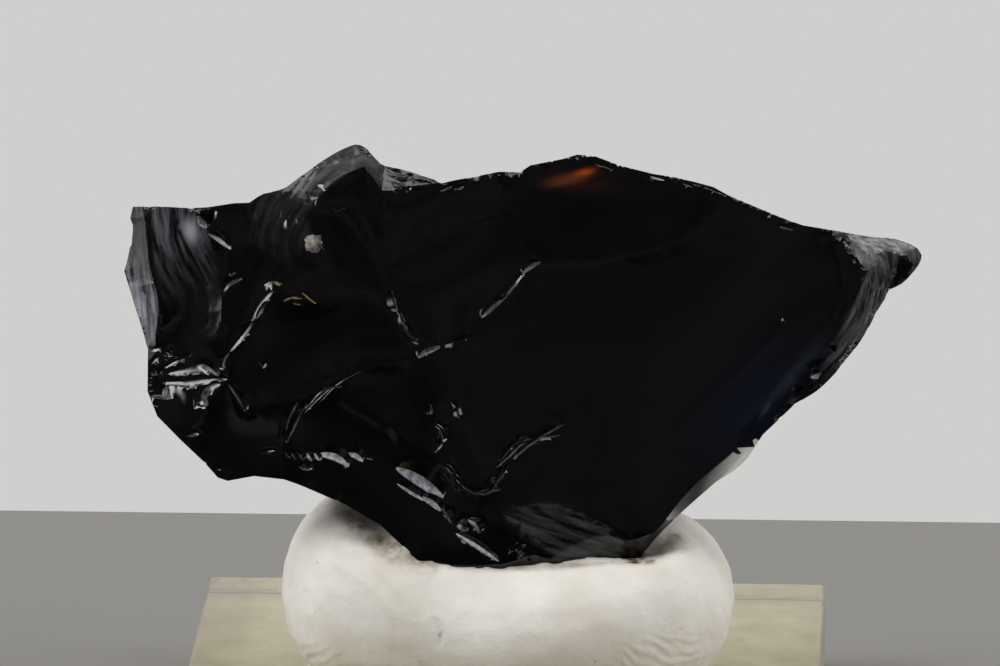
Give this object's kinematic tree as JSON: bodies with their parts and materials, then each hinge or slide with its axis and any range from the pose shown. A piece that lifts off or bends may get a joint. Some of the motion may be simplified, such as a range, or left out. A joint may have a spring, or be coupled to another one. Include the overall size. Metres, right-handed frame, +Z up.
{
  "type": "andara crystal on a display mount",
  "caption": "Rough lump of black glossy glass with shell-shaped breaks, held upright in a white putty pad on a clear square base.",
  "frame": {"origin": "centre of the base's flat underside", "axes": "+Z up, +X along the stone's length towards its thin pointed end, -Y towards the side that the stone faces"},
  "size_m": [0.0484, 0.0384, 0.0373],
  "materials": {
    "volcanic_glass": "fresh glossy fracture, see-through only at its thin edges",
    "putty": "soft matt, with fingerprints",
    "acrylic": "clear, yellowed, polished edges"
  },
  "bodies": {
    "root": {"crystal": "volcanic_glass", "putty_pad": "putty", "acrylic_base": "acrylic"}
  },
  "joints": []
}
